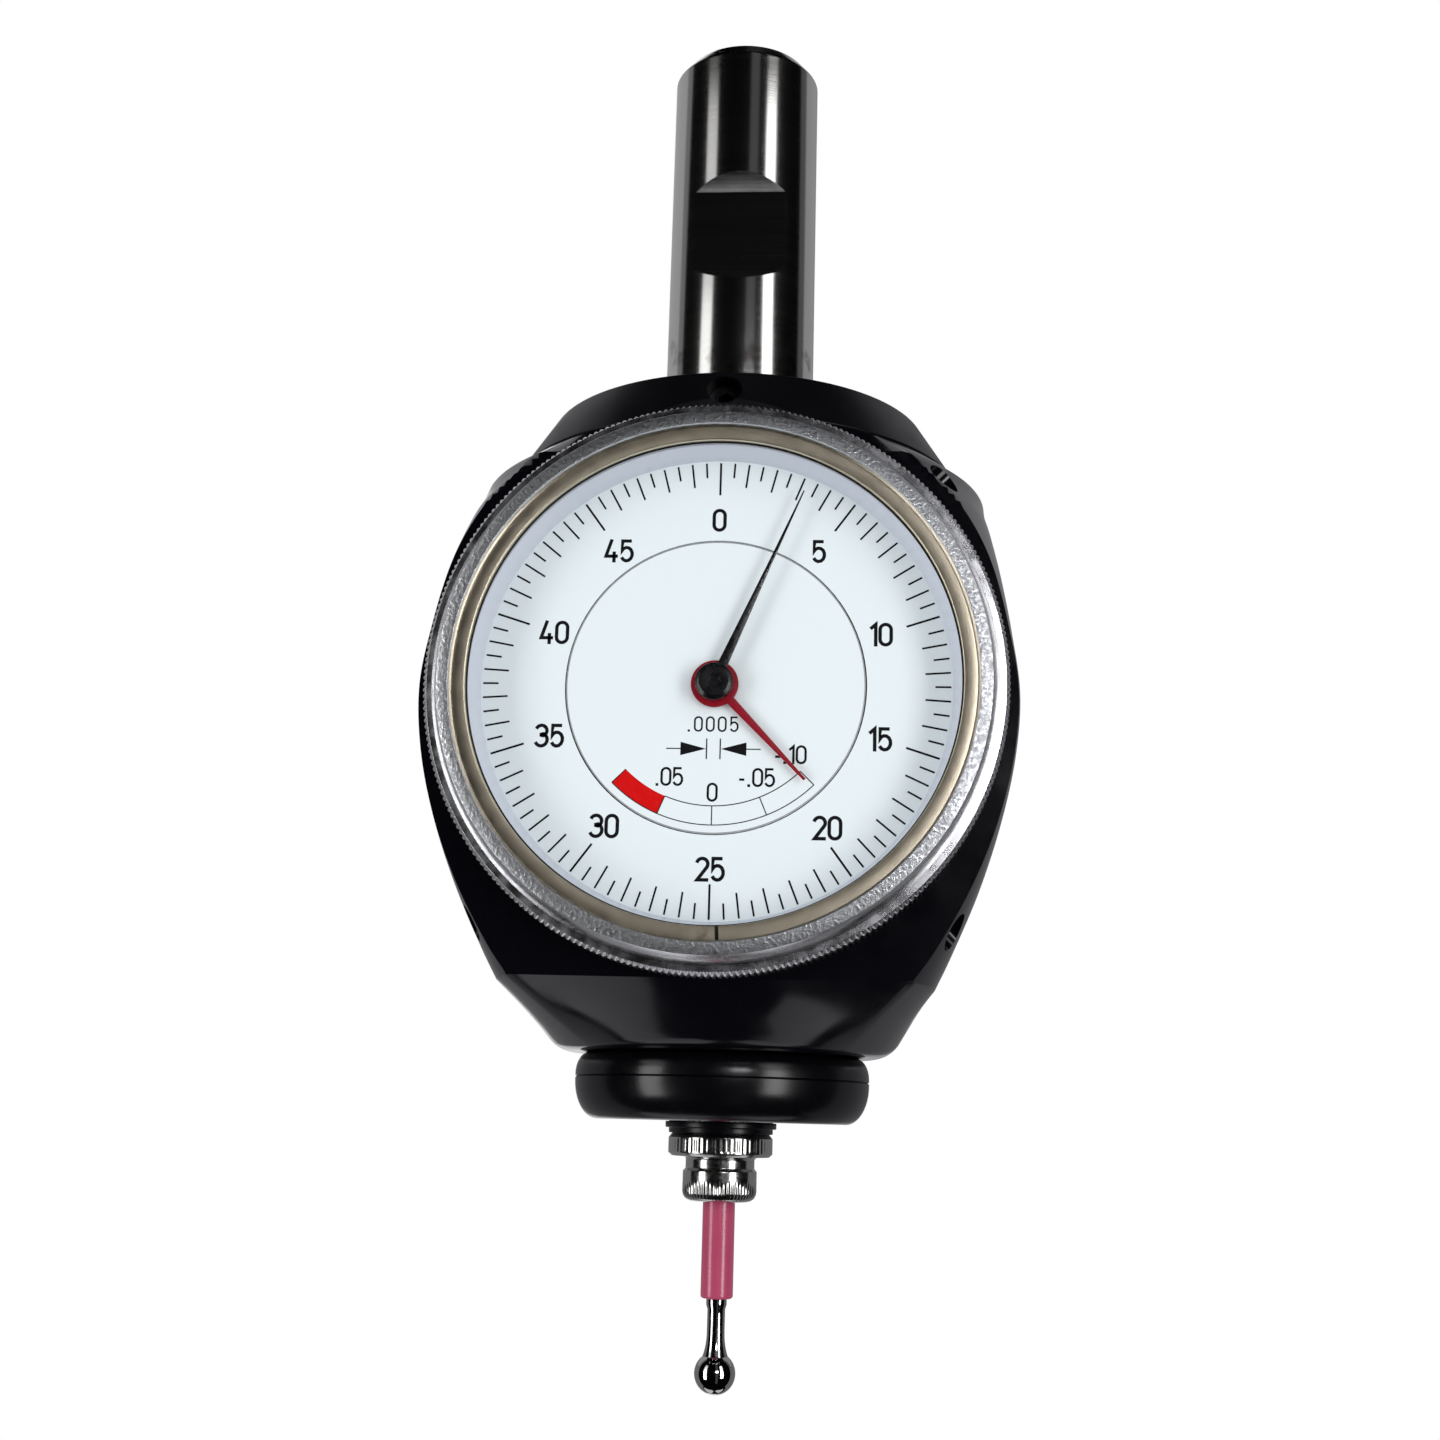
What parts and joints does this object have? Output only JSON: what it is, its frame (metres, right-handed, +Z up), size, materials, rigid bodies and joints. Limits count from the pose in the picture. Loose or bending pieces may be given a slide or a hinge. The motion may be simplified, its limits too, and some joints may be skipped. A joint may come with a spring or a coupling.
{
  "type": "dial positioning indicator",
  "caption": "Spindle-mounted dial positioning indicator: cylindrical shank with side-lock flat, black barrel, two-pointer inch dial in a turning bezel, sprung tilting ball probe.",
  "frame": {"origin": "on the shank's axis, at the cap's top face where the shank leaves it", "axes": "+Z up the shank's axis, -Y out of the dial's face, +X to the right seen from the dial"},
  "size_m": [0.0562, 0.0534, 0.1406],
  "materials": {
    "shank_steel": "ground and polished",
    "black_body": "black satin anodised",
    "black_screws": "black oxide",
    "bronze": "machined bronze",
    "movement_brass": "machined",
    "bright_screws": "turned",
    "dial_white": "satin white print",
    "bezel_metal": "turned, blasted front ring",
    "crystal": "clear polished",
    "ring_tan": "satin",
    "reflector": "pale satin",
    "guide_steel": "ground",
    "spring_steel": "drawn wire",
    "pointer_red": "satin lacquer",
    "pointer_black": "satin lacquer",
    "boot_rubber": "moulded, fine grain",
    "holder_black": "black oxide, satin",
    "nut_chrome": "bright, fine knurl",
    "ceramic": "glazed ceramic, dusty pink red",
    "stem_steel": "ground",
    "ball_steel": "polished"
  },
  "bodies": {
    "root": {"shank": "shank_steel", "top_cap": "black_body", "cap_screws": "black_screws", "centring_screws": "black_screws", "housing": "black_body", "bezel_screws": "black_screws", "lower_bush": "bronze", "upper_bush": "bronze", "front_plate": "movement_brass", "back_plate": "movement_brass", "pillars": "movement_brass", "plate_screws": "bright_screws", "dial_centre": "dial_white", "boot": "boot_rubber"},
    "bezel_unit": {"bezel": "bezel_metal", "crystal": "crystal", "snap_ring": "ring_tan", "reflector_ring": "reflector", "dial_ring": "dial_white"},
    "plunger_unit": {"plunger": "guide_steel", "rack": "guide_steel", "return_spring": "spring_steel"},
    "coarse_unit": {"coarse_arbor": "movement_brass", "coarse_pointer": "pointer_red"},
    "step_unit": {"step_arbor": "movement_brass"},
    "main_unit": {"main_arbor": "movement_brass", "main_pointer": "pointer_black", "hub_cap": "pointer_black"},
    "gimbal_unit": {"gimbal_ring": "guide_steel", "gimbal_pins": "guide_steel"},
    "probe_unit": {"probe_holder": "holder_black", "probe_nut": "nut_chrome", "ceramic_rod": "ceramic", "ball_stem": "stem_steel", "probe_ball": "ball_steel"}
  },
  "joints": [
    {"name": "probe_plunge", "type": "slide", "parent": "root", "child": "plunger_unit", "axis": [0, 0, 1], "range_m": [0, 0.00508], "stiffness_N_per_m": 400, "springref_m": -0.004, "deforming": ["return_spring", "boot"]},
    {"name": "coarse_turn", "type": "hinge", "parent": "root", "child": "coarse_unit", "pos_m": [0, -0.016, -0.032], "axis": [0, 1, 0], "range_deg": [0, 90.1]},
    {"name": "step_turn", "type": "hinge", "parent": "root", "child": "step_unit", "pos_m": [0.01, -0.016, -0.032], "axis": [0, 1, 0], "range_deg": [-360.1, 0]},
    {"name": "main_turn", "type": "hinge", "parent": "root", "child": "main_unit", "pos_m": [0, -0.016, -0.032], "axis": [0, 1, 0], "range_deg": [0, 1440.1]},
    {"name": "probe_tilt_front", "type": "hinge", "parent": "plunger_unit", "child": "gimbal_unit", "pos_m": [0, 0, -0.066], "axis": [1, 0, 0], "range_deg": [-8, 8], "stiffness_Nm_per_rad": 0.2, "deforming": ["boot"]},
    {"name": "probe_tilt_side", "type": "hinge", "parent": "gimbal_unit", "child": "probe_unit", "pos_m": [0, 0, -0.066], "axis": [0, 1, 0], "range_deg": [-8, 8], "stiffness_Nm_per_rad": 0.2, "deforming": ["boot"]},
    {"name": "bezel_turn", "type": "hinge", "parent": "root", "child": "bezel_unit", "pos_m": [0, -0.022, -0.032], "axis": [0, 1, 0], "continuous": true}
  ],
  "couplings": [
    {"joint": "coarse_turn", "follows": "probe_plunge", "rad_per_m": 309.21},
    {"joint": "step_turn", "follows": "probe_plunge", "rad_per_m": -1236.8},
    {"joint": "main_turn", "follows": "probe_plunge", "rad_per_m": 4947.4}
  ]
}
